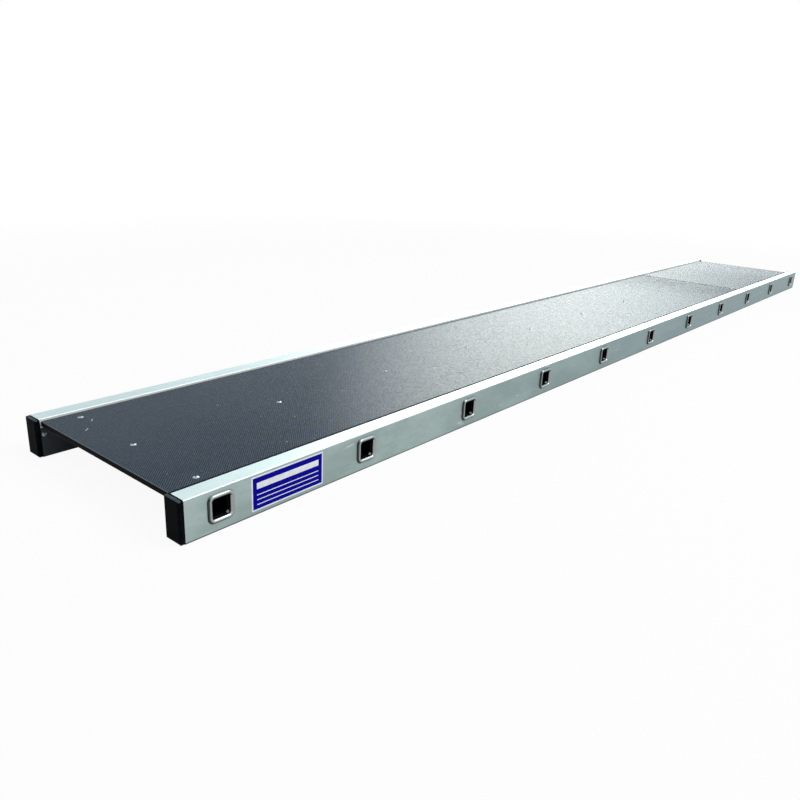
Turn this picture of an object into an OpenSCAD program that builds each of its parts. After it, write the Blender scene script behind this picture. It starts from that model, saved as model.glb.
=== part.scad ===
// Scaffold plank: a lightweight aluminium staging board.
// Two box-section stiles are joined by square rungs, whose ends go through the stiles and are rolled
// out into a lip round an open mouth. A plywood deck in two panels lies on the rungs and on a ledge
// of each stile and is riveted to the rungs. Plastic caps close the stile ends.
// +X runs along the board, -Y is the front stile, +Z is up, and the origin is under the centre.

/* [Board] */
// Overall length, over the end caps
board_len = 3136; // [2400:1:4200]
// Width over the outer faces of the two stiles
board_w = 450; // [350:5:650]

/* [Stiles] */
// Height of a stile
stile_h = 68; // [60:0.5:90]
// Width of a stile's top flange
flange_w = 32; // [24:0.5:45]
// Width of the ledge that carries the deck's edge
ledge_w = 5; // [3:0.5:10]
// Wall of the stile's box section
stile_wall = 2; // [1.5:0.1:3]
// Radius of the stile's long outside edges
stile_edge_r = 2.5; // [1:0.1:4]
// Radius of the ledge's edge
ledge_edge_r = 1; // [0.5:0.1:2]
// Radius of the corners inside the stile
stile_hollow_r = 1; // [0.5:0.1:2]

/* [Rungs] */
// Outside size of the square rung tube
rung_size = 34; // [28:0.5:38]
// Wall of the rung tube
rung_wall = 1.6; // [1.2:0.1:2.2]
// Outside corner radius of the rung tube
rung_corner_r = 5; // [3:0.5:8]
// Distance from each end of the board to the middle of its first rung
rung_end = 68; // [58:1:110]
// Radius of the rolled lip round a rung's mouth
lip_r = 3.5; // [2:0.1:4.5]
// Height of the locking bead on each flat side of a rung, behind the stile's outer wall
bead_swell = 1.5; // [0.8:0.1:2.5]

/* [Deck] */
// Thickness of the plywood
deck_t = 9; // [6:0.5:12]
// Depth of the deck's surface below the tops of the stiles
deck_recess = 4.5; // [2:0.5:8]
// Chamfer along the deck's top edges
deck_chamfer = 0.8; // [0.3:0.1:2]
// Number, from the left, of the rung that the two panels meet on
seam_rung = 9; // [3:1:9]

/* [Rivets] */
// Diameter of a blind rivet's shank
rivet_d = 3.2; // [2.4:0.1:3.6]
// Diameter of the wide head that a rivet has on the deck
rivet_head_d = 9.5; // [8:0.5:14]
// Distance from the deck's side edges to the outer rivets
rivet_edge = 25.5; // [18:0.5:60]

/* [End caps] */
// Thickness of a cap's face plate
cap_t = 8; // [5:0.5:12]
// Radius round a cap's face
cap_edge_r = 4.5; // [1:0.1:4.8]
// Depth of the plug that goes into the stile
plug_depth = 20; // [16:0.5:24]
// Wall of the hollow plug
plug_wall = 2; // [1.5:0.1:3]
// Diameter of the head of the rivet that holds a cap
cap_rivet_head_d = 8; // [6:0.5:9]
// Distance from the stile's end to the middle of that rivet
cap_rivet_in = 5.5; // [5:0.5:10]
// Height of that rivet
cap_rivet_z = 41; // [30:0.5:44]

/* [Clearances] */
// Room round a rung where it goes through a stile
rung_clearance = 0.15; // [0.05:0.05:0.4]
// Gap between the deck's side edges and the stiles
deck_side_gap = 0.5; // [0.2:0.1:0.9]
// Gap between the deck's ends and the caps
deck_end_gap = 4; // [0.5:0.5:12]
// Gap between the two deck panels
deck_seam_gap = 1; // [0.4:0.1:3]
// Room round a cap's plug inside the stile
plug_clearance = 0.2; // [0.1:0.05:0.5]
// Room round a rivet's shank
rivet_clearance = 0.1; // [0.05:0.05:0.3]

/* [Hidden] */
$fn = 64;
rung_count = 11;
past = 1;

rung_pitch = (board_len - 2 * rung_end) / (rung_count - 1);
stile_len = board_len - 2 * cap_t;
box_w = flange_w + ledge_w;
deck_top_z = stile_h - deck_recess;
deck_z = deck_top_z - deck_t;

bore = rung_size - 2 * rung_wall;
bore_corner_r = rung_corner_r - rung_wall;
rung_z = deck_z - rung_size / 2;
bead_r = rung_wall + bead_swell;
bead_in = stile_wall + sqrt(pow(bead_r, 2) - pow(rung_wall, 2));

deck_w = board_w - 2 * (flange_w + deck_side_gap);
deck_left_x = -board_len / 2 + cap_t + deck_end_gap;
seam_x = rung_x(seam_rung);
seam_rivet_x = rung_size / 4;
deck_grip = deck_t + rung_wall;
cap_grip = stile_wall + plug_clearance + plug_wall;

aluminium = [0.70, 0.74, 0.74];
bright_aluminium = [0.82, 0.85, 0.86];
phenolic_black = [0.27, 0.31, 0.36];
cap_black = [0.06, 0.06, 0.07];

function rung_x(number) = -board_len / 2 + rung_end + (number - 1) * rung_pitch;
function rung_name(number) = str("rung_", number < 10 ? "0" : "", number);

// Every deck rivet's place: three across each end of a panel, and one on each rung between
rivet_row_y = [-deck_w / 2 + rivet_edge, 0, deck_w / 2 - rivet_edge];
rivet_places = [
    for (number = [1:rung_count])
        for (along = number == seam_rung ? [-seam_rivet_x, seam_rivet_x] : [0])
            for (y = number == 1 || number == seam_rung || number == rung_count ? rivet_row_y : [0])
                [rung_x(number) + along, y]
];

// A rectangle from its lower left corner, with a radius for each corner:
// lower left, lower right, upper right, upper left
module rounded_rect(size, radii) {
    corners = [[0, 0], [1, 0], [1, 1], [0, 1]];
    difference() {
        square(size);
        for (i = [0:3])
            translate([corners[i].x * size.x, corners[i].y * size.y])
                mirror([corners[i].x, 0])
                    mirror([0, corners[i].y])
                        difference() {
                            translate([-past, -past]) square(radii[i] + past);
                            translate([radii[i], radii[i]]) circle(radii[i]);
                        }
    }
}

module rounded_square(side, r) {
    translate([-side / 2, -side / 2]) rounded_rect([side, side], [r, r, r, r]);
}

// Lays a flat outline, drawn as width and height, along +X
module along_x(len) {
    rotate([90, 0, 90]) linear_extrude(len) children();
}

// Lays a flat outline, drawn about the rung's axis, across the board
module along_y(len) {
    rotate([90, 0, 0]) linear_extrude(len, center = true) children();
}

// The stile's outline from its outer face inwards: a box under the ledge and a narrower one above it
module stile_outline() {
    rounded_rect([flange_w, stile_h], [stile_edge_r, ledge_edge_r, stile_edge_r, stile_edge_r]);
    rounded_rect([box_w, deck_z], [stile_edge_r, stile_edge_r, ledge_edge_r, ledge_edge_r]);
}

// The same outline, drawn in by a distance from every wall
module stile_inset(inset) {
    r = stile_hollow_r;
    radii = [r, r, r, r];
    translate([inset, inset]) {
        rounded_rect([flange_w - 2 * inset, stile_h - 2 * inset], radii);
        rounded_rect([box_w - 2 * inset, deck_z - 2 * inset], radii);
    }
}

// The hole for a rivet's shank, going down from the floor and past it at both ends
module rivet_hole(depth) {
    translate([0, 0, -depth - past]) cylinder(d = rivet_d + 2 * rivet_clearance, h = depth + 2 * past);
}

// Puts a copy at the left and the right end of the board
module at_both_ends() {
    for (side = [0, 1]) mirror([side, 0, 0]) children();
}

// The front stile; the back one is its mirror image
module stile() {
    color(aluminium)
        difference() {
            translate([-stile_len / 2, -board_w / 2, 0])
                along_x(stile_len)
                    difference() {
                        stile_outline();
                        stile_inset(stile_wall);
                    }
            for (number = [1:rung_count])
                translate([rung_x(number), -board_w / 2, rung_z])
                    along_y(2 * (box_w + past))
                        rounded_square(rung_size + 2 * rung_clearance, rung_corner_r + rung_clearance);
            at_both_ends()
                translate([-stile_len / 2 + cap_rivet_in, -board_w / 2 + box_w, cap_rivet_z])
                    rotate([-90, 0, 0]) rivet_hole(stile_wall);
        }
}

// Carries a flat section round a square path with rounded corners, section x outwards and y along +Z
module square_ring(side, corner_r) {
    run = side - 2 * corner_r;
    for (turn = [0:90:270])
        rotate([0, 0, turn]) {
            translate([side / 2, 0, 0])
                rotate([90, 0, 0]) linear_extrude(run, center = true) children();
            translate([run / 2, run / 2, 0])
                rotate_extrude(angle = 90) translate([corner_r, 0]) children();
        }
}

// Half of a disc, above its straight side
module half_disc(r) {
    intersection() {
        circle(r);
        translate([-r, 0]) square([2 * r, r]);
    }
}

// Puts a copy at both ends of a rung, with +Z pointing out of the stile's outer face
module at_rung_ends(x) {
    for (side = [0, 1])
        mirror([0, side, 0])
            translate([x, -board_w / 2, rung_z]) rotate([90, 0, 0]) children();
}

// Half-round beads along the four flat sides of a bore, on the far side of the stile's outer wall
module beads(r) {
    translate([0, 0, -bead_in])
        for (turn = [0:90:270])
            rotate([0, 0, turn])
                translate([bore / 2, 0, 0])
                    rotate([90, 0, 0])
                        linear_extrude(bore - 2 * bore_corner_r, center = true) rotate(-90) half_disc(r);
}

// A square tube that ends on the stiles' outer faces. Each end grips the stile's outer wall between a
// lip, rolled out on the face, and beads, pressed out from inside the tube
module rung(number) {
    x = rung_x(number);
    color(bright_aluminium)
        difference() {
            union() {
                translate([x, 0, rung_z])
                    along_y(board_w)
                        difference() {
                            rounded_square(rung_size, rung_corner_r);
                            rounded_square(bore, bore_corner_r);
                        }
                at_rung_ends(x) {
                    square_ring(bore + 2 * lip_r, bore_corner_r + lip_r) half_disc(lip_r);
                    beads(bead_r);
                }
            }
            at_rung_ends(x) beads(bead_swell);
            for (place = rivet_places)
                if (abs(place.x - x) < rung_size / 2)
                    translate([place.x, place.y, deck_z]) rivet_hole(rung_wall);
        }
}

// The deck's cross-section over a span, with its two top edges chamfered
module deck_section(span) {
    polygon([
        [0, 0],
        [span, 0],
        [span, deck_t - deck_chamfer],
        [span - deck_chamfer, deck_t],
        [deck_chamfer, deck_t],
        [0, deck_t - deck_chamfer]
    ]);
}

module deck_panel(left_x, right_x) {
    len = right_x - left_x;
    color(phenolic_black)
        difference() {
            intersection() {
                translate([left_x, -deck_w / 2, deck_z]) along_x(len) deck_section(deck_w);
                translate([left_x, deck_w / 2, deck_z])
                    rotate([90, 0, 0]) linear_extrude(deck_w) deck_section(len);
            }
            for (place = rivet_places)
                if (place.x > left_x && place.x < right_x)
                    translate([place.x, place.y, deck_top_z]) rivet_hole(deck_t);
        }
}

module deck_panel_long() {
    deck_panel(deck_left_x, seam_x - deck_seam_gap / 2);
}

module deck_panel_short() {
    deck_panel(seam_x + deck_seam_gap / 2, -deck_left_x);
}

// The half outline of a shallow dome that stands on the floor
module dome_outline(d, h) {
    r = (pow(d / 2, 2) + pow(h, 2)) / (2 * h);
    intersection() {
        translate([0, h - r]) circle(r);
        square([d / 2, h]);
    }
}

// A blind rivet that points down, with its head standing on the floor and its tail under the grip
module rivet(head_d, grip) {
    rotate_extrude() {
        dome_outline(head_d, head_d / 6);
        translate([0, -grip]) square([rivet_d / 2, grip]);
        translate([0, -grip]) mirror([0, 1]) dome_outline(1.5 * rivet_d, 0.7 * rivet_d);
    }
}

module deck_rivets() {
    color(bright_aluminium)
        for (place = rivet_places)
            translate([place.x, place.y, deck_top_z]) rivet(rivet_head_d, deck_grip);
}

// The cap's face plate, rounded round its outer face, which lies at x = 0
module cap_plate() {
    r = cap_edge_r;
    intersection() {
        along_x(cap_t) rounded_rect([box_w, stile_h], [r, r, r, r]);
        translate([0, box_w, 0])
            rotate([90, 0, 0]) linear_extrude(box_w) rounded_rect([cap_t, stile_h], [r, 0, 0, r]);
        linear_extrude(stile_h) rounded_rect([cap_t, box_w], [r, 0, 0, r]);
    }
}

// The cap of the front stile's left end
module end_cap() {
    plug_inset = stile_wall + plug_clearance;
    color(cap_black)
        translate([-board_len / 2, -board_w / 2, 0]) {
            cap_plate();
            translate([cap_t, 0, 0])
                difference() {
                    along_x(plug_depth)
                        difference() {
                            stile_inset(plug_inset);
                            stile_inset(plug_inset + plug_wall);
                        }
                    translate([cap_rivet_in, box_w, cap_rivet_z])
                        rotate([-90, 0, 0]) rivet_hole(cap_grip);
                }
        }
}

module cap_rivets() {
    color(bright_aluminium)
        for (side = [0, 1])
            mirror([0, side, 0])
                at_both_ends()
                    translate([-stile_len / 2 + cap_rivet_in, -board_w / 2 + box_w, cap_rivet_z])
                        rotate([-90, 0, 0]) rivet(cap_rivet_head_d, cap_grip);
}

stile();  // stile_front
mirror([0, 1, 0]) stile();  // stile_back
for (number = [1:rung_count])
    rung(number);
deck_panel_long();
deck_panel_short();
end_cap();  // end_cap_front_left
mirror([1, 0, 0]) end_cap();  // end_cap_front_right
mirror([0, 1, 0]) end_cap();  // end_cap_back_left
mirror([1, 0, 0]) mirror([0, 1, 0]) end_cap();  // end_cap_back_right
deck_rivets();
cap_rivets();
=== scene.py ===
"""The looks of a scaffold plank: finishes for its solids, its label, its rivets' pins and a studio."""
import math

import bpy
from mathutils import Matrix, Vector


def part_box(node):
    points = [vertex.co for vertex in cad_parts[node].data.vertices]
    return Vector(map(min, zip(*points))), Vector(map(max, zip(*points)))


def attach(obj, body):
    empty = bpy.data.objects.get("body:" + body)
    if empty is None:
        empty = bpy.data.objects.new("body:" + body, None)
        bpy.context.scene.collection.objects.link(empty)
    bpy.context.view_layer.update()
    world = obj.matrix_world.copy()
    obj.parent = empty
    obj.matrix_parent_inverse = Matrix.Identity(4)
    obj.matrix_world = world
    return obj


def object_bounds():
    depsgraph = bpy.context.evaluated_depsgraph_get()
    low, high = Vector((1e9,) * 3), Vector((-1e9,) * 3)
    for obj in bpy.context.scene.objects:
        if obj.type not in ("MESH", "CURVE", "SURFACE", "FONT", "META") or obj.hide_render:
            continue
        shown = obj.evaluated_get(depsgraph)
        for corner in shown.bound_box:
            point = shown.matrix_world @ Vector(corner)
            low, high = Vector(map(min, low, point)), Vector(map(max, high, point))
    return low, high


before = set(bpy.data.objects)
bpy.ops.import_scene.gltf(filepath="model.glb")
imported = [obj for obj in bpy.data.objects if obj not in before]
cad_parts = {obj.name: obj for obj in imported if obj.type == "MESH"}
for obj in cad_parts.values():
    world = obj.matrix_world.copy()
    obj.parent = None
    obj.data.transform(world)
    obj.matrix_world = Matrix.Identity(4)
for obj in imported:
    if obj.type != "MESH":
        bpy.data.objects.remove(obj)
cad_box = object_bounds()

bpy.ops.object.select_all(action="DESELECT")

# Sizes read from the frame, in metres
MM = 0.001
BOARD_LOW, BOARD_HIGH = cad_box
STILE_LOW, STILE_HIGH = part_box("stile_front")
DECK_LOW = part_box("deck_panel_long")[0]
RUNG_LOW, RUNG_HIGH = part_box("rung_01")
NEXT_RUNG_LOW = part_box("rung_02")[0]
RUNG_PITCH = NEXT_RUNG_LOW.x - RUNG_LOW.x
RUNG_X = (RUNG_LOW.x + RUNG_HIGH.x) / 2
RUNG_Z = (RUNG_LOW.z + RUNG_HIGH.z) / 2

# How far a stile's outer face and the inner edge of its top flange are from the board's middle
LEDGE_WIDTH = 5 * MM
OUTER_FACE = -STILE_LOW.y
FLANGE_INNER = LEDGE_WIDTH - STILE_HIGH.y

# A rung's section, as distances out from a square core whose corners are the centres of its radii
RUNG_CORE = 12 * MM
BORE_OUT = 3.4 * MM
LIP_EDGE_OUT = (RUNG_HIGH.x - RUNG_LOW.x) / 2 - RUNG_CORE
LIP_CREST_OUT = (BORE_OUT + LIP_EDGE_OUT) / 2

# How far a rung's locking bead swells, and a depth behind the stile's outer face that is past it
BEAD_SWELL = 1.5 * MM
BEAD_DEPTH = 10 * MM

# The photograph's camera, with its lens and sensor in millimetres
CAMERA_PLACE = Vector((-2.0640, -1.0114, 0.5338))
CAMERA_AIM = Vector((-0.8811, -0.0300, 0.0))
CAMERA_ROLL = math.radians(2.655)
CAMERA_LENS = 33.415
CAMERA_SENSOR = 36
CAMERA_CLIP = 0.01

# The label on the front stile's outer face
LABEL_FROM_END = 122 * MM
LABEL_LEFT = BOARD_LOW.x + LABEL_FROM_END
LABEL_WIDTH = 144 * MM
LABEL_BOTTOM = 7.5 * MM
LABEL_HEIGHT = 56 * MM
LABEL_THICK = 0.2 * MM
LABEL_CORNER = 2 * MM
LABEL_CORNER_SEGMENTS = 6
LABEL_BORDER = 2.5 * MM

# The broken-off pin that stays in a blind rivet's head
PIN_SIDES = 16
PIN_RADIUS = 1.5 * MM
PIN_HEIGHT = 0.9 * MM
PIN_SINK = 0.5 * MM
PIN_EDGE = 0.12 * MM
PIN_EDGE_SEGMENTS = 2
PIN_NECK = 0.5 * MM
PIN_TIP = 0.3 * MM
PIN_SMOOTH_ANGLE = math.radians(40)

# Colours that more than one finish or function uses
# Bare metal in scratches, and the colour of the painted highlight along a flange's front edge
BARE_METAL_AND_HIGHLIGHT = (0.90, 0.95, 0.95, 1.0)
# The painted highlight on the upward-facing half of a lip, and the colour of the marks on a rung's tube
LIT_LIP_AND_MARKS = (0.70, 0.73, 0.72, 1.0)
# A dark colour for painted shade in creases, along the stiles' bottom edge and on the lips' lower left
# side
PAINTED_SHADE = (0.03, 0.04, 0.04, 1.0)
WHITE = (1.0, 1.0, 1.0, 1.0)


# Shader nodes

def feed(tree, socket, value):
    """Links another node's output to a socket, or sets the socket to a plain value."""
    if isinstance(value, bpy.types.NodeSocket):
        tree.links.new(value, socket)
    else:
        socket.default_value = value


def put(tree, kind, settings=None, inputs=None):
    """Adds a node, sets its settings and feeds its inputs."""
    made = tree.nodes.new(kind)
    for name, value in (settings or {}).items():
        setattr(made, name, value)
    for name, value in (inputs or {}).items():
        feed(tree, made.inputs[name], value)
    return made


def maths(tree, operation, first, second=0.0):
    return put(tree, "ShaderNodeMath", {"operation": operation}, {0: first, 1: second}).outputs[0]


def add(tree, first, second):
    return maths(tree, "ADD", first, second)


def subtract(tree, first, second):
    return maths(tree, "SUBTRACT", first, second)


def times(tree, first, second):
    return maths(tree, "MULTIPLY", first, second)


def divide(tree, first, second):
    return maths(tree, "DIVIDE", first, second)


def least(tree, first, second):
    return maths(tree, "MINIMUM", first, second)


def most(tree, first, second):
    return maths(tree, "MAXIMUM", first, second)


def size_of(tree, value):
    return maths(tree, "ABSOLUTE", value)


def opposite(tree, mask):
    return subtract(tree, 1.0, mask)


def weighted(tree, *parts, base=0.0):
    """A base value, plus each part's mask times its share."""
    total = base
    for mask, share in parts:
        total = add(tree, total, times(tree, mask, share))
    return total


def between(tree, value, low, high, to_low=0.0, to_high=1.0):
    """Carries a value from one range to another with soft ends."""
    settings = {"interpolation_type": "SMOOTHSTEP"}
    ends = {"From Min": low, "From Max": high, "To Min": to_low, "To Max": to_high}
    return put(tree, "ShaderNodeMapRange", settings, {"Value": value, **ends}).outputs["Result"]


def fading(tree, value, start, end):
    """1 where a value is below the start, and 0 where it is past the end."""
    return between(tree, value, start, end, 1.0, 0.0)


def mix_colour(tree, amount, first, second):
    settings = {"data_type": "RGBA", "blend_type": "MIX"}
    return put(tree, "ShaderNodeMix", settings, {0: amount, 6: first, 7: second}).outputs[2]


def stretch(tree, coords, scale=(1.0, 1.0, 1.0), turn=(0.0, 0.0, 0.0)):
    inputs = {"Vector": coords, "Scale": scale, "Rotation": turn}
    return put(tree, "ShaderNodeMapping", None, inputs).outputs["Vector"]


def noise(tree, coords, per_metre, detail=2.0, rough=0.5):
    inputs = {"Vector": coords, "Scale": per_metre, "Detail": detail, "Roughness": rough}
    return put(tree, "ShaderNodeTexNoise", None, inputs).outputs["Fac"]


def split(tree, coords):
    return put(tree, "ShaderNodeSeparateXYZ", None, {0: coords}).outputs


def new_group(name, inputs, outputs):
    """Starts a shader node group with named inputs and outputs."""
    tree = bpy.data.node_groups.new(name, "ShaderNodeTree")
    for label, kind in inputs.items():
        tree.interface.new_socket(name=label, in_out="INPUT", socket_type=kind)
    for label in outputs:
        tree.interface.new_socket(name=label, in_out="OUTPUT", socket_type="NodeSocketFloat")
    source = tree.nodes.new("NodeGroupInput").outputs
    result = tree.nodes.new("NodeGroupOutput").inputs
    return tree, source, result


def place_group(tree, group, inputs):
    return put(tree, "ShaderNodeGroup", {"node_tree": group}, inputs).outputs


def new_material(name):
    """A new material, its tree, its Principled shader and its Object coordinates."""
    material = bpy.data.materials.new(name)
    material.use_nodes = True
    tree = material.node_tree
    shader = tree.nodes["Principled BSDF"]
    coords = tree.nodes.new("ShaderNodeTexCoord").outputs["Object"]
    return material, tree, shader, coords


def link(tree, shader, **sockets):
    """Feeds the shader's sockets, named with underscores for spaces."""
    for name, value in sockets.items():
        feed(tree, shader.inputs[name.replace("_", " ")], value)


def bump(tree, height, distance, strength):
    inputs = {"Height": height, "Distance": distance, "Strength": strength}
    return put(tree, "ShaderNodeBump", None, inputs).outputs["Normal"]


# Effects, as shader node groups

def make_drawn_lines():
    """Fine lines along X, as an extrusion die leaves them."""
    drawn_out = (0.004, 1.0, 1.0)
    no_line = 0.3
    full_line = 0.7
    tree, source, result = new_group(
        "drawn lines",
        {"Vector": "NodeSocketVector", "Lines per metre": "NodeSocketFloat"},
        ["Lines"],
    )
    drawn = stretch(tree, source["Vector"], drawn_out)
    fine = noise(tree, drawn, source["Lines per metre"], detail=3.0, rough=0.6)
    tree.links.new(between(tree, fine, no_line, full_line), result["Lines"])
    return tree


def make_smudges():
    """Broad handling marks that break up into small spots."""
    no_mark = 0.35
    full_mark = 0.68
    tree, source, result = new_group(
        "smudges",
        {"Vector": "NodeSocketVector", "Marks per metre": "NodeSocketFloat"},
        ["Marks"],
    )
    broad = noise(tree, source["Vector"], source["Marks per metre"], detail=6.0, rough=0.65)
    tree.links.new(between(tree, broad, no_mark, full_mark), result["Marks"])
    return tree


def make_scratches():
    """A few short, thin scratches that lie two ways."""
    drawn_out = (0.12, 1.0, 1.0)
    turns = (0.35, -0.6)
    no_scratch = 0.74
    full_scratch = 0.78
    tree, source, result = new_group(
        "scratches",
        {"Vector": "NodeSocketVector", "Scratches per metre": "NodeSocketFloat"},
        ["Scratches"],
    )
    total = 0.0
    for turn in turns:
        drawn = stretch(tree, source["Vector"], drawn_out, (0.0, turn, turn))
        fine = noise(tree, drawn, source["Scratches per metre"], detail=1.0)
        total = most(tree, total, between(tree, fine, no_scratch, full_scratch))
    tree.links.new(total, result["Scratches"])
    return tree


def make_mesh_imprint():
    """The print of a woven wire mesh: staggered raised dots, and a chance value for each repeat."""
    no_dot = 0.1
    full_dot = 0.6
    tree, source, result = new_group(
        "mesh imprint",
        {"Vector": "NodeSocketVector", "Pitch": "NodeSocketFloat"},
        ["Dots", "Chance"],
    )
    along = split(tree, source["Vector"])
    cell = tree.nodes.new("ShaderNodeCombineXYZ")
    waves = []
    for axis in ("X", "Y"):
        turns = divide(tree, along[axis], source["Pitch"])
        tree.links.new(maths(tree, "ROUND", turns), cell.inputs[axis])
        waves.append(maths(tree, "COSINE", times(tree, turns, 2 * math.pi)))
    product = times(tree, waves[0], waves[1])
    chance = put(tree, "ShaderNodeTexWhiteNoise", None, {"Vector": cell.outputs[0]})
    tree.links.new(between(tree, product, no_dot, full_dot), result["Dots"])
    tree.links.new(chance.outputs["Value"], result["Chance"])
    return tree


def make_rung_distance():
    """Where a point is about the nearest rung's middle, and how far out from that rung's core it is.

    Rise is 1 where the way out goes straight up and -1 where it goes straight down. Corner is above 0
    only in the section's four corners.
    """
    smallest_out = 0.01 * MM
    tree, source, result = new_group(
        "rung distance",
        {"Vector": "NodeSocketVector"},
        ["Across", "Up", "Out", "Rise", "Corner"],
    )
    along = split(tree, source["Vector"])
    turns = divide(tree, subtract(tree, along["X"], RUNG_X), RUNG_PITCH)
    across = times(tree, subtract(tree, turns, maths(tree, "ROUND", turns)), RUNG_PITCH)
    up = subtract(tree, along["Z"], RUNG_Z)
    out_x = most(tree, subtract(tree, size_of(tree, across), RUNG_CORE), 0.0)
    out_z = most(tree, subtract(tree, size_of(tree, up), RUNG_CORE), 0.0)
    squares = add(tree, times(tree, out_x, out_x), times(tree, out_z, out_z))
    out = maths(tree, "SQRT", squares)
    slope = divide(tree, out_z, most(tree, out, smallest_out))
    tree.links.new(across, result["Across"])
    tree.links.new(up, result["Up"])
    tree.links.new(out, result["Out"])
    tree.links.new(times(tree, maths(tree, "SIGN", up), slope), result["Rise"])
    tree.links.new(least(tree, out_x, out_z), result["Corner"])
    return tree


DRAWN_LINES = make_drawn_lines()
SMUDGES = make_smudges()
SCRATCHES = make_scratches()
MESH_IMPRINT = make_mesh_imprint()
RUNG_DISTANCE = make_rung_distance()


def drawn_lines(tree, coords, per_metre):
    return place_group(tree, DRAWN_LINES, {"Vector": coords, "Lines per metre": per_metre})["Lines"]


def smudges(tree, coords, per_metre):
    return place_group(tree, SMUDGES, {"Vector": coords, "Marks per metre": per_metre})["Marks"]


def shaded_side(tree, rung):
    """1 on the lower left half of a rung's mouth, which takes painted shade, and 0 on the other half.
    """
    softness = 4 * MM
    return fading(tree, add(tree, rung["Across"], rung["Up"]), -softness, softness)


# The stiles' finish

def flange_painted_highlight(tree, along, lines):
    """A stile's top flange: painted pale as a painted reflection of the sky, whiter on the drawn lines,
    and with a painted highlight along the edge nearer the front.
    """
    # The pale colour is a painted reflection on the flange's top
    pale = (0.86, 0.96, 0.93, 1.0)
    band_shift = 2.5 * MM
    edge_full = -10 * MM
    edge_none = -5 * MM
    edge_share = 0.65
    line_share = 0.25
    band_middle = (OUTER_FACE + FLANGE_INNER) / 2 + band_shift
    side = maths(tree, "SIGN", along["Y"])
    from_band = subtract(tree, along["Y"], times(tree, side, band_middle))
    # Painted highlight along the flange's edge nearer the front
    front_highlight = fading(tree, from_band, edge_full, edge_none)
    whiter = weighted(tree, (front_highlight, edge_share), (lines, line_share))
    return mix_colour(tree, whiter, pale, BARE_METAL_AND_HIGHLIGHT)


def stile_painted_shade(tree, along, out, rung):
    """Painted shade on a stile: in the crease round each rolled lip, most on its lower left side, and
    along the bottom edge.
    """
    crease_width = 1.4 * MM
    crease_base = 0.15
    shaded_share = 0.8
    face_none = BOARD_HIGH.y - 5.5 * MM
    face_full = BOARD_HIGH.y - 4.5 * MM
    bottom_full = 2.0 * MM
    bottom_none = 3.6 * MM
    bottom_share = 0.95
    crease = fading(tree, rung["Out"], LIP_EDGE_OUT, LIP_EDGE_OUT + crease_width)
    depth = weighted(tree, (shaded_side(tree, rung), shaded_share), base=crease_base)
    outer_face = between(tree, out, face_none, face_full)
    crease = times(tree, times(tree, crease, depth), outer_face)
    bottom = between(tree, along["Z"], bottom_full, bottom_none, bottom_share, 0.0)
    return most(tree, crease, bottom)


def stile_inner_faces(tree, along, out):
    """Two masks of the faces that look inward: those below the deck, which take painted shade, and the
    narrow face above it, which takes painted light.
    """
    inward_full = FLANGE_INNER - 0.2 * MM
    inward_none = FLANGE_INNER + 1.0 * MM
    under_full = DECK_LOW.z - 1.0 * MM
    under_none = DECK_LOW.z - 0.2 * MM
    inward = fading(tree, out, inward_full, inward_none)
    under_deck = fading(tree, along["Z"], under_full, under_none)
    shaded_inner = times(tree, inward, under_deck)
    lit_step = times(tree, inward, opposite(tree, under_deck))
    return shaded_inner, lit_step


def stile_aluminium():
    """Mill-finish extrusion with grey webs, painted with light and shade: a pale top flange and a white
    face above the deck as painted light, and painted shade on the inner faces below the deck, round the
    lips, along the bottom edge and away from the near end.
    """
    web_grey = (0.30, 0.385, 0.37, 1.0)
    web_pale = (0.46, 0.56, 0.54, 1.0)
    web_far_shade = (0.17, 0.25, 0.28, 1.0)
    step_painted_light = (0.93, 0.97, 0.95, 1.0)
    inner_painted_shade = (0.050, 0.058, 0.066, 1.0)
    wipe_along = (0.45, 1.0, 1.0)
    far_full_x = 0.2
    far_share = 0.6
    top_none = STILE_HIGH.z - 1.5 * MM
    top_full = STILE_HIGH.z - 0.2 * MM
    scratch_share = 0.3
    material, tree, shader, coords = new_material("stile_aluminium")
    lines = drawn_lines(tree, coords, per_metre=420.0)
    marks = smudges(tree, stretch(tree, coords, wipe_along), per_metre=16.0)
    scratches = place_group(tree, SCRATCHES, {"Vector": coords, "Scratches per metre": 160.0})
    rung = place_group(tree, RUNG_DISTANCE, {"Vector": coords})
    along = split(tree, coords)
    out = size_of(tree, along["Y"])
    tone = weighted(tree, (lines, 0.20), (marks, 0.80))
    colour = mix_colour(tree, tone, web_grey, web_pale)
    # Painted shade: the web is painted darker away from the near end
    far = between(tree, along["X"], BOARD_LOW.x, far_full_x, 0.0, far_share)
    colour = mix_colour(tree, far, colour, web_far_shade)
    # Painted light: the top flange is painted paler than the web
    on_top = between(tree, along["Z"], top_none, top_full)
    colour = mix_colour(tree, on_top, colour, flange_painted_highlight(tree, along, lines))
    scratched = times(tree, scratches["Scratches"], scratch_share)
    colour = mix_colour(tree, scratched, colour, BARE_METAL_AND_HIGHLIGHT)
    # Painted shade round the lips and along the bottom edge
    colour = mix_colour(tree, stile_painted_shade(tree, along, out, rung), colour, PAINTED_SHADE)
    shaded_inner, lit_step = stile_inner_faces(tree, along, out)
    # Painted shade on the inner faces below the deck
    colour = mix_colour(tree, shaded_inner, colour, inner_painted_shade)
    # Painted light: the inward face above the deck is painted white and made non-metal
    colour = mix_colour(tree, lit_step, colour, step_painted_light)
    rough = weighted(tree, (lines, 0.10), (marks, 0.08), (shaded_inner, 0.14), base=0.34)
    link(tree, shader, Base_Color=colour, Roughness=rough, Metallic=opposite(tree, lit_step))
    link(tree, shader, Normal=bump(tree, lines, distance=0.06 * MM, strength=0.6))
    return material


# The rungs' finish

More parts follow.
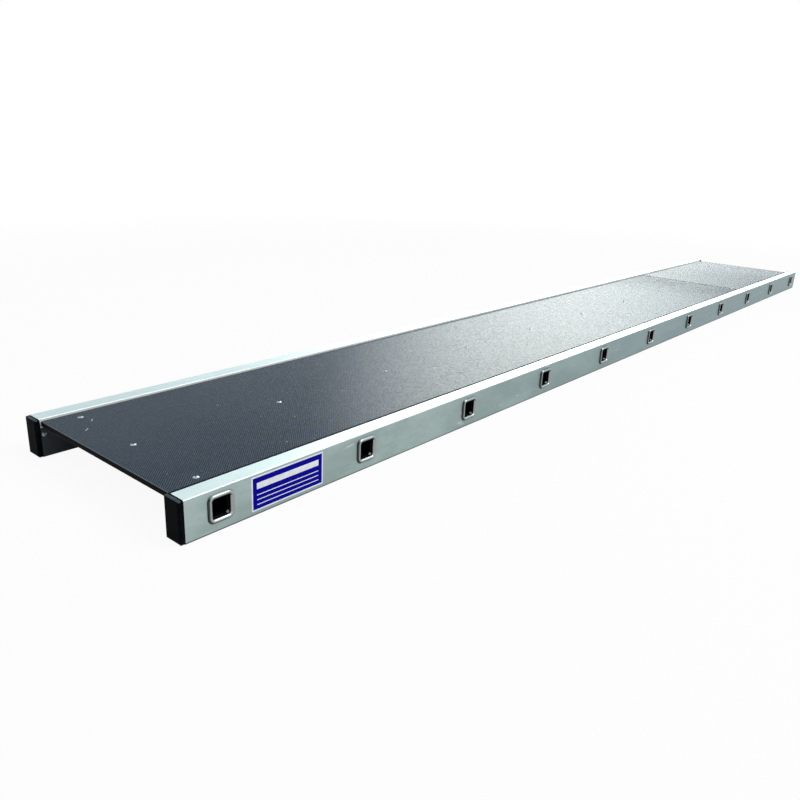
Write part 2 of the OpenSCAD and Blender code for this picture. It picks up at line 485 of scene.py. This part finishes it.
def lip_painted_light(tree, rung):
    """A rolled lip's painted light and shade: lit above and shaded below, shaded grey on its flank, and
    darker on its lower left edge.
    """
    in_shade = (0.09, 0.10, 0.10, 1.0)
    flank_shade = (0.26, 0.31, 0.30, 1.0)
    shaded_slope = -0.5
    lit_slope = 0.7
    flank_none = 0.35
    flank_full = 0.9
    flank_share = 0.8
    shade_none = LIP_EDGE_OUT - 2.6 * MM
    shade_full = LIP_EDGE_OUT - 1.4 * MM
    dirt_share = 0.9
    past_crest = subtract(tree, rung["Out"], LIP_CREST_OUT)
    from_crest = divide(tree, past_crest, LIP_EDGE_OUT - LIP_CREST_OUT)
    facing_up = times(tree, rung["Rise"], from_crest)
    # Painted light and shade: bright where the lip faces up, dark where it faces down
    colour = mix_colour(tree, between(tree, facing_up, shaded_slope, lit_slope), in_shade, LIT_LIP_AND_MARKS)
    # Painted shade on the lip's outer flank
    flank = between(tree, from_crest, flank_none, flank_full, 0.0, flank_share)
    colour = mix_colour(tree, flank, colour, flank_shade)
    # Painted shade on the outer edge of the lip's lower left half
    edge = between(tree, rung["Out"], shade_none, shade_full)
    dirty = times(tree, times(tree, edge, shaded_side(tree, rung)), dirt_share)
    return mix_colour(tree, dirty, colour, PAINTED_SHADE)


def bore_masks(tree, rung, depth):
    """Two masks of a rung's inside: all of it, and a painted highlight in a lower corner near the
    mouth.
    """
    plain_from = BEAD_DEPTH + 1 * MM
    slack = 0.3 * MM
    glint_starts = (1.5 * MM, 2.5 * MM)
    glint_ends = (5 * MM, 8 * MM)
    lower_right_from = 14 * MM
    lower_right_full = 20 * MM
    corner_from = 0.2 * MM
    corner_full = 0.8 * MM
    reach = between(tree, depth, BEAD_DEPTH, plain_from, BORE_OUT + BEAD_SWELL, BORE_OUT)
    inside = maths(tree, "LESS_THAN", rung["Out"], add(tree, reach, slack))
    near_mouth = times(tree, between(tree, depth, *glint_starts), fading(tree, depth, *glint_ends))
    down_right = subtract(tree, rung["Across"], rung["Up"])
    lower_right = between(tree, down_right, lower_right_from, lower_right_full)
    in_corner = between(tree, rung["Corner"], corner_from, corner_full)
    painted_glint = times(tree, times(tree, near_mouth, in_corner), lower_right)
    return inside, times(tree, painted_glint, inside)


def rung_aluminium():
    """Drawn tube with rolled lips, painted dark inside as painted shade, but for a painted highlight in
    one corner of each mouth.
    """
    tube_grey = (0.50, 0.55, 0.55, 1.0)
    inside_painted_shade = (0.012, 0.013, 0.015, 1.0)
    painted_glint_colour = (0.90, 0.94, 0.94, 1.0)
    quarter_turn = (0.0, 0.0, math.pi / 2)
    lip_none = OUTER_FACE - 0.5 * MM
    lip_full = OUTER_FACE + 0.1 * MM
    mark_share = 0.5
    material, tree, shader, coords = new_material("rung_aluminium")
    lines = drawn_lines(tree, stretch(tree, coords, turn=quarter_turn), per_metre=500.0)
    marks = smudges(tree, coords, per_metre=40.0)
    rung = place_group(tree, RUNG_DISTANCE, {"Vector": coords})
    out = size_of(tree, split(tree, coords)["Y"])
    on_lip = between(tree, out, lip_none, lip_full)
    off_lip = opposite(tree, on_lip)
    tube = mix_colour(tree, times(tree, marks, mark_share), tube_grey, LIT_LIP_AND_MARKS)
    colour = mix_colour(tree, on_lip, tube, lip_painted_light(tree, rung))
    inside, painted_glint = bore_masks(tree, rung, subtract(tree, OUTER_FACE, out))
    in_shade = times(tree, inside, off_lip)
    # Painted shade inside the tube
    colour = mix_colour(tree, in_shade, colour, inside_painted_shade)
    # Painted highlight in a lower corner near each mouth, white and non-metal
    colour = mix_colour(tree, painted_glint, colour, painted_glint_colour)
    drawn = times(tree, lines, off_lip)
    rough = weighted(tree, (drawn, 0.10), (on_lip, 0.08), (in_shade, 0.35), base=0.22)
    link(tree, shader, Base_Color=colour, Roughness=rough, Metallic=opposite(tree, painted_glint))
    link(tree, shader, Normal=bump(tree, drawn, distance=0.04 * MM, strength=0.5))
    return material


# The deck's finish

def deck_scratches(tree, along):
    """Two short scratches beside the first rung's back rivet."""
    length = 14 * MM
    full_to = 0.3 * length
    end = 0.5 * length
    half_width = 0.7 * MM
    soft_half_width = 1.4 * MM
    # Each scratch's distances from the board's near end and from its middle, and its turn
    first = (75.5 * MM, 141.7 * MM, 0.94)
    second = (48.1 * MM, 107.4 * MM, 0.73)
    total = 0.0
    for from_end, from_middle, turn in (first, second):
        x = subtract(tree, along["X"], BOARD_LOW.x + from_end)
        y = subtract(tree, along["Y"], from_middle)
        forward = add(tree, times(tree, x, math.cos(turn)), times(tree, y, math.sin(turn)))
        aside = subtract(tree, times(tree, y, math.cos(turn)), times(tree, x, math.sin(turn)))
        lengthways = fading(tree, size_of(tree, forward), full_to, end)
        sideways = fading(tree, size_of(tree, aside), half_width, soft_half_width)
        total = most(tree, total, times(tree, lengthways, sideways))
    return total


def deck_edge_shade(tree, along, low, high):
    """Painted shade along a panel's long edges, wider at the front than at the back, and along its far
    end.
    """
    narrower_behind = 10 * MM
    side_full = 9 * MM
    side_none = 12 * MM
    end_full = 4 * MM
    end_none = 10 * MM
    end_share = 0.7
    from_front = subtract(tree, along["Y"], low.y)
    from_back = subtract(tree, high.y, along["Y"])
    from_side = least(tree, from_front, add(tree, from_back, narrower_behind))
    from_far_end = subtract(tree, high.x, along["X"])
    sides = fading(tree, from_side, side_full, side_none)
    return most(tree, sides, between(tree, from_far_end, end_full, end_none, end_share, 0.0))


def deck_plies(tree, along, low):
    """Dark sealed plies, one above another on a panel's edges."""
    ply_dark = (0.002, 0.002, 0.002, 1.0)
    ply_brown = (0.004, 0.0035, 0.003, 1.0)
    ply_thick = 1.4 * MM
    layer = divide(tree, subtract(tree, along["Z"], low.z), ply_thick)
    return mix_colour(tree, maths(tree, "PINGPONG", layer, 1.0), ply_dark, ply_brown)


def deck_film(node, dark, pale, dusty, smooth, matt_end, painted_sheen_end):
    """Phenolic film with a wire-mesh imprint, over dark sealed plies that show at the edges.

    The last four numbers are how dusty the smudges are, the least roughness, how scuffed the panel's
    far end is, and how much painted sheen makes the film paler toward its far end.
    """
    edge_shade_colour = (0.006, 0.008, 0.010, 1.0)
    dust_and_sheen = (0.40, 0.44, 0.46, 1.0)
    mesh_pitch = 4.6 * MM
    faintest_dot = 0.35
    clearest_dot = 0.6
    no_speck = 0.80
    full_speck = 0.83
    edge_shade_share = 0.9
    highlight_share = 0.30
    highlight_full = 0.8 * MM
    highlight_none = 1.6 * MM
    edge_rough = 0.9
    low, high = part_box(node)
    top_film_z = high.z - 0.7 * MM
    under_film_z = low.z + 0.1 * MM
    sheen_from = low.x + 0.1
    scuffed_from = high.x - 0.40
    scuffed_full = high.x - 0.08
    material, tree, shader, coords = new_material(node + "_film")
    mesh = place_group(tree, MESH_IMPRINT, {"Vector": coords, "Pitch": mesh_pitch})
    marks = smudges(tree, coords, per_metre=6.0)
    specks = between(tree, noise(tree, coords, per_metre=120.0, detail=1.0), no_speck, full_speck)
    along = split(tree, coords)
    clear = between(tree, mesh["Chance"], 0.0, 1.0, faintest_dot, clearest_dot)
    surface = mix_colour(tree, times(tree, mesh["Dots"], clear), dark, pale)
    # Painted sheen: the film is painted paler toward its far end
    painted_sheen = between(tree, along["X"], sheen_from, high.x, 0.0, painted_sheen_end)
    painted_sheen = times(tree, painted_sheen, weighted(tree, (marks, 0.2), base=0.8))
    surface = mix_colour(tree, weighted(tree, (marks, dusty), base=painted_sheen), surface, dust_and_sheen)
    surface = mix_colour(tree, specks, surface, dust_and_sheen)
    # Painted shade along the panel's edges
    edge_shaded = times(tree, deck_edge_shade(tree, along, low, high), edge_shade_share)
    surface = mix_colour(tree, edge_shaded, surface, edge_shade_colour)
    from_near_end = subtract(tree, along["X"], low.x)
    # Painted highlight along the near end's top edge, together with two real scratches
    edge_highlight = between(tree, from_near_end, highlight_full, highlight_none, highlight_share, 0.0)
    surface = mix_colour(tree, most(tree, edge_highlight, deck_scratches(tree, along)), surface, dust_and_sheen)
    on_top = maths(tree, "GREATER_THAN", along["Z"], top_film_z)
    under = maths(tree, "LESS_THAN", along["Z"], under_film_z)
    faced = most(tree, on_top, under)
    colour = mix_colour(tree, faced, deck_plies(tree, along, low), surface)
    scuffed = times(tree, between(tree, along["X"], scuffed_from, scuffed_full), matt_end)
    scuffed = times(tree, scuffed, weighted(tree, (marks, 0.4), base=0.6))
    rough = weighted(tree, (marks, 0.015), (mesh["Chance"], 0.17), (scuffed, 0.18), base=smooth)
    rough = most(tree, rough, most(tree, edge_shaded, subtract(tree, edge_rough, faced)))
    dots = times(tree, mesh["Dots"], faced)
    link(tree, shader, Base_Color=colour, Roughness=rough, IOR=1.22)
    link(tree, shader, Normal=bump(tree, dots, distance=0.3 * MM, strength=0.4))
    return material


# The smaller pieces' finishes

def cap_plastic():
    """Black moulded plastic with a fine grain, and a painted grey highlight along its rounded top edge.
    """
    black = (0.002, 0.0025, 0.003, 1.0)
    scuffed = (0.008, 0.009, 0.010, 1.0)
    edge_highlight = (0.10, 0.14, 0.16, 1.0)
    scuffed_share = 0.6
    top_none = BOARD_HIGH.z - 2.6 * MM
    top_full = BOARD_HIGH.z - 1.0 * MM
    plate_full = 4.4 * MM
    plate_none = 5.4 * MM
    material, tree, shader, coords = new_material("cap_plastic")
    grain = noise(tree, coords, per_metre=1800.0, detail=2.0)
    marks = smudges(tree, coords, per_metre=60.0)
    colour = mix_colour(tree, times(tree, marks, scuffed_share), black, scuffed)
    along = split(tree, coords)
    from_face = subtract(tree, BOARD_HIGH.x, size_of(tree, along["X"]))
    # Painted highlight on the rounded top edge of the cap's plate
    top = between(tree, along["Z"], top_none, top_full)
    top = times(tree, top, fading(tree, from_face, plate_full, plate_none))
    top = times(tree, top, weighted(tree, (marks, 0.4), base=0.6))
    colour = mix_colour(tree, top, colour, edge_highlight)
    rough = weighted(tree, (marks, 0.15), base=0.42)
    link(tree, shader, Base_Color=colour, Roughness=rough, IOR=1.05)
    link(tree, shader, Normal=bump(tree, grain, distance=0.1 * MM, strength=0.35))
    return material


def rivet_aluminium(name, bright, dirty, smooth):
    """Rivet heads with a little dirt, where smooth is the roughness of a clean one."""
    dirt_share = 0.5
    material, tree, shader, coords = new_material(name)
    marks = smudges(tree, coords, per_metre=220.0)
    colour = mix_colour(tree, times(tree, marks, dirt_share), bright, dirty)
    rough = weighted(tree, (marks, 0.2), base=smooth)
    link(tree, shader, Base_Color=colour, Roughness=rough, Metallic=1.0)
    return material


def pin_steel():
    """Dull grey steel with rust-brown specks, as a rivet's snapped pin has."""
    steel = (0.46, 0.48, 0.47, 1.0)
    brown = (0.22, 0.17, 0.13, 1.0)
    material, tree, shader, coords = new_material("pin_steel")
    marks = smudges(tree, coords, per_metre=900.0)
    colour = mix_colour(tree, marks, steel, brown)
    rough = weighted(tree, (marks, 0.25), base=0.35)
    link(tree, shader, Base_Color=colour, Roughness=rough, Metallic=1.0)
    return material


def rectangle_mask(tree, along, left, right, bottom, top):
    """1 inside a rectangle on the front stile's outer face, and 0 outside it."""
    mask = maths(tree, "GREATER_THAN", along["X"], left)
    mask = times(tree, mask, maths(tree, "LESS_THAN", along["X"], right))
    mask = times(tree, mask, maths(tree, "GREATER_THAN", along["Z"], bottom))
    return times(tree, mask, maths(tree, "LESS_THAN", along["Z"], top))


def label_print():
    """A plain blue field in a white border, with a white band and fine rules, and no words."""
    white = (0.84, 0.86, 0.88, 1.0)
    scuffed_white = (0.62, 0.66, 0.68, 1.0)
    blue = (0.001, 0.001, 0.28, 1.0)
    scuff_share = 0.5
    margin = 4 * LABEL_BORDER
    right = LABEL_LEFT + LABEL_WIDTH
    field_sides = (LABEL_LEFT + LABEL_BORDER, right - LABEL_BORDER)
    part_sides = (LABEL_LEFT + margin, right - margin)
    field_bottom = LABEL_BOTTOM + LABEL_BORDER
    field_top = LABEL_BOTTOM + LABEL_HEIGHT - LABEL_BORDER
    band = (0.62 * LABEL_HEIGHT, 0.80 * LABEL_HEIGHT)
    rule_count = 3
    first_rule = 0.16 * LABEL_HEIGHT
    rule_spacing = 0.14 * LABEL_HEIGHT
    rule_height = 1.4 * MM
    material, tree, shader, coords = new_material("label_print")
    along = split(tree, coords)
    field = rectangle_mask(tree, along, *field_sides, field_bottom, field_top)
    strips = [band]
    for row in range(rule_count):
        rule_bottom = first_rule + rule_spacing * row
        strips.append((rule_bottom, rule_bottom + rule_height))
    white_parts = 0.0
    for low, high in strips:
        part = rectangle_mask(tree, along, *part_sides, LABEL_BOTTOM + low, LABEL_BOTTOM + high)
        white_parts = most(tree, white_parts, part)
    printed = times(tree, field, opposite(tree, white_parts))
    scuffs = smudges(tree, coords, per_metre=90.0)
    paper = mix_colour(tree, times(tree, scuffs, scuff_share), white, scuffed_white)
    rough = weighted(tree, (scuffs, 0.15), base=0.35)
    link(tree, shader, Base_Color=mix_colour(tree, printed, paper, blue), Roughness=rough, IOR=1.1)
    return material


# New pieces

def start_piece(name):
    """Names the object that was just added, and goes into edit mode with all of it selected."""
    piece = bpy.context.object
    piece.name = name
    piece.data.name = name
    bpy.ops.object.mode_set(mode="EDIT")
    bpy.ops.mesh.select_all(action="SELECT")
    return piece


def finish_piece(piece, material):
    """Goes back to object mode, puts the piece's place in its mesh, and seats it on the board."""
    bpy.ops.object.mode_set(mode="OBJECT")
    bpy.ops.object.transform_apply(location=True, rotation=True, scale=True)
    piece.data.materials.clear()
    piece.data.materials.append(material)
    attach(piece, "root")
    bpy.ops.object.select_all(action="DESELECT")


def make_label():
    """A thin sticker with round corners on the front stile's outer face."""
    middle_x = LABEL_LEFT + LABEL_WIDTH / 2
    middle = (middle_x, STILE_LOW.y, LABEL_BOTTOM + LABEL_HEIGHT / 2)
    bpy.ops.mesh.primitive_plane_add(size=1, location=middle, rotation=(math.pi / 2, 0, 0))
    bpy.context.object.scale = (LABEL_WIDTH, LABEL_HEIGHT, 1)
    bpy.ops.object.transform_apply(location=False, rotation=False, scale=True)
    label = start_piece("label")
    bpy.ops.mesh.bevel(offset=LABEL_CORNER, segments=LABEL_CORNER_SEGMENTS, affect="VERTICES")
    bpy.ops.mesh.select_all(action="SELECT")
    bpy.ops.mesh.extrude_region_move(TRANSFORM_OT_translate={"value": (0, -LABEL_THICK, 0)})
    bpy.ops.mesh.select_all(action="SELECT")
    bpy.ops.mesh.normals_make_consistent(inside=False)
    finish_piece(label, label_print())


def rivet_tops():
    """The crown of each rivet's head on the deck."""
    tolerance = 0.01 * MM
    decimals = 5
    points = [vertex.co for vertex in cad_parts["deck_rivets"].data.vertices]
    top = max(point.z for point in points)
    highest = [point for point in points if point.z > top - tolerance]
    crowns = {(round(point.x, decimals), round(point.y, decimals)) for point in highest}
    return [Vector((x, y, top)) for x, y in sorted(crowns)]


def make_rivet_pins():
    """The snapped end of a rivet's pin, modelled once and copied into each head on the deck."""
    facing_up = 0.9
    lift = Vector((0, 0, PIN_HEIGHT / 2 - PIN_SINK))
    places = [crown + lift for crown in rivet_tops()]
    bpy.ops.mesh.primitive_cylinder_add(
        vertices=PIN_SIDES, radius=PIN_RADIUS, depth=PIN_HEIGHT, location=places[0]
    )
    for face in bpy.context.object.data.polygons:
        face.select = face.normal.z > facing_up
    bpy.ops.object.mode_set(mode="EDIT")
    bpy.ops.mesh.inset(thickness=PIN_NECK)
    bpy.ops.transform.translate(value=(0, 0, PIN_TIP))
    bpy.ops.object.mode_set(mode="OBJECT")
    pin = start_piece("rivet_pins")
    bpy.ops.mesh.bevel(offset=PIN_EDGE, segments=PIN_EDGE_SEGMENTS, affect="EDGES")
    bpy.ops.object.mode_set(mode="OBJECT")
    bpy.ops.object.shade_smooth_by_angle(angle=PIN_SMOOTH_ANGLE)
    pins = [pin]
    for place in places[1:]:
        bpy.ops.object.duplicate(linked=False)
        bpy.context.object.location = place
        pins.append(bpy.context.object)
    for copy in pins:
        copy.select_set(True)
    bpy.context.view_layer.objects.active = pin
    bpy.ops.object.join()
    finish_piece(pin, pin_steel())


# The studio

def mirror_rays(tree, rays):
    """1 for a ray that has left a glossy or clear surface, and 0 for any other."""
    return most(tree, rays["Is Glossy Ray"], rays["Is Transmission Ray"])


def make_floor():
    """A pale floor that keeps the board's shadow near it and runs into white further out."""
    floor_size = 60
    floor_drop = 0.3 * MM
    floor_pale = (0.85, 0.86, 0.86, 1.0)
    near_white = 0.93
    near_radius = 1.8
    white_radius = 4.0
    shade_samples = 8
    shade_reach = 0.4
    bpy.ops.mesh.primitive_plane_add(size=floor_size, location=(0, 0, -floor_drop))
    floor = bpy.context.object
    floor.name = "floor"
    material = bpy.data.materials.new("studio_floor")
    material.use_nodes = True
    tree = material.node_tree
    tree.nodes.clear()
    coords = tree.nodes.new("ShaderNodeTexCoord").outputs["Object"]
    away = put(tree, "ShaderNodeVectorMath", {"operation": "LENGTH"}, {0: coords}).outputs["Value"]
    rays = tree.nodes.new("ShaderNodeLightPath").outputs
    shade_inputs = {"Distance": shade_reach}
    shade = put(tree, "ShaderNodeAmbientOcclusion", {"samples": shade_samples}, shade_inputs)
    mirrored = times(tree, mirror_rays(tree, rays), shade.outputs["AO"])
    seen = most(tree, rays["Is Camera Ray"], mirrored)
    whiteness = between(tree, away, near_radius, white_radius, near_white, 1.0)
    amount = times(tree, seen, whiteness)
    pale = put(tree, "ShaderNodeBsdfDiffuse", None, {"Color": floor_pale}).outputs[0]
    white = put(tree, "ShaderNodeEmission", None, {"Color": WHITE, "Strength": 1.0}).outputs[0]
    mixed = put(tree, "ShaderNodeMixShader", None, {0: amount, 1: pale, 2: white}).outputs[0]
    put(tree, "ShaderNodeOutputMaterial", None, {"Surface": mixed})
    floor.data.materials.append(material)
    bpy.ops.object.select_all(action="DESELECT")


def make_world():
    """Soft light from all round, a white background, and a bright stretch of sky that gloss sees."""
    dim = 0.55
    calm = 0.75
    backdrop = 1.0
    brightest = 5.7
    calm_sky = (0.82, 0.94, 1.0, 1.0)
    bright_sky = (0.95, 1.0, 0.95, 1.0)
    sky_turn = math.radians(27.5)
    sky_height = math.radians(22)
    sky_edge = math.cos(math.radians(19))
    sky_core = math.cos(math.radians(1))
    level = math.cos(sky_height)
    sky = (level * math.cos(sky_turn), level * math.sin(sky_turn), math.sin(sky_height))
    world = bpy.data.worlds.new("studio")
    world.use_nodes = True
    tree = world.node_tree
    tree.nodes.clear()
    rays = tree.nodes.new("ShaderNodeLightPath").outputs
    direction = tree.nodes.new("ShaderNodeTexCoord").outputs["Generated"]
    towards = put(tree, "ShaderNodeVectorMath", {"operation": "DOT_PRODUCT"}, {0: direction, 1: sky})
    bright = between(tree, towards.outputs["Value"], sky_edge, sky_core)
    mirrored = mirror_rays(tree, rays)
    sky_strength = weighted(tree, (bright, brightest - calm), base=calm - dim)
    unmirrored = weighted(tree, (rays["Is Camera Ray"], backdrop - dim), base=dim)
    strength = add(tree, unmirrored, times(tree, mirrored, sky_strength))
    sky_colour = mix_colour(tree, bright, calm_sky, bright_sky)
    colour = mix_colour(tree, mirrored, WHITE, sky_colour)
    light = put(tree, "ShaderNodeBackground", None, {"Color": colour, "Strength": strength})
    put(tree, "ShaderNodeOutputWorld", None, {"Surface": light.outputs[0]})
    bpy.context.scene.world = world


def make_lamp(name, place, aim, width, height, watts):
    """A soft box that lights the board and isn't seen by the camera."""
    bpy.ops.object.light_add(type="AREA", location=place)
    lamp = bpy.context.object
    lamp.name = name
    lamp.data.shape = "RECTANGLE"
    lamp.data.size = width
    lamp.data.size_y = height
    lamp.data.energy = watts
    lamp.rotation_euler = (Vector(aim) - Vector(place)).to_track_quat("-Z", "Y").to_euler()
    lamp.visible_camera = False
    bpy.ops.object.select_all(action="DESELECT")


def make_camera():
    """The photograph's camera, turned about its own axis by the photograph's roll."""
    bpy.ops.object.camera_add(location=CAMERA_PLACE)
    camera = bpy.context.object
    camera.name = "camera"
    camera.data.lens = CAMERA_LENS
    camera.data.sensor_width = CAMERA_SENSOR
    camera.data.clip_start = CAMERA_CLIP
    level = (CAMERA_AIM - CAMERA_PLACE).to_track_quat("-Z", "Y").to_matrix()
    camera.rotation_euler = (level @ Matrix.Rotation(CAMERA_ROLL, 3, "Z")).to_euler()
    bpy.context.scene.camera = camera
    bpy.ops.object.select_all(action="DESELECT")


def dress(nodes, material):
    """Gives nodes of the frame one material."""
    for name in nodes:
        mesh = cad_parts[name].data
        mesh.materials.clear()
        mesh.materials.append(material)


# The colours of the two panels' films and of the rivets, with the cap rivets' heads painted darker as
# painted shade
slate = (0.001, 0.002, 0.005, 1.0)
slate_dots = (0.14, 0.25, 0.42, 1.0)
pale_slate = (0.075, 0.085, 0.092, 1.0)
pale_dots = (0.24, 0.28, 0.30, 1.0)
rivet_bright = (0.66, 0.74, 0.75, 1.0)
rivet_dirty = (0.26, 0.30, 0.31, 1.0)
rivet_shaded = (0.30, 0.33, 0.34, 1.0)
rivet_shaded_dark = (0.06, 0.07, 0.07, 1.0)

# The dressed board
rungs = [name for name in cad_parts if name.startswith("rung_")]
caps = [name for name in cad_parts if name.startswith("end_cap_")]
dress(["stile_front", "stile_back"], stile_aluminium())
dress(rungs, rung_aluminium())
long_film = deck_film(
    "deck_panel_long", slate, slate_dots, dusty=0.02, smooth=0.11, matt_end=1.0, painted_sheen_end=0.0
)
short_film = deck_film(
    "deck_panel_short", pale_slate, pale_dots, dusty=0.10, smooth=0.13, matt_end=0.0, painted_sheen_end=0.6
)
dress(["deck_panel_long"], long_film)
dress(["deck_panel_short"], short_film)
dress(caps, cap_plastic())
dress(["deck_rivets"], rivet_aluminium("deck_rivet_heads", rivet_bright, rivet_dirty, smooth=0.32))
dress(["cap_rivets"], rivet_aluminium("cap_rivet_heads", rivet_shaded, rivet_shaded_dark, smooth=0.20))
make_label()
make_rivet_pins()

# The studio round it
make_floor()
make_world()
make_lamp("key_lamp", place=(0.5, -2.6, 3.2), aim=(-0.3, 0, 0), width=2.5, height=2.5, watts=90)
make_camera()

bpy.context.scene.view_settings.view_transform = "Standard"
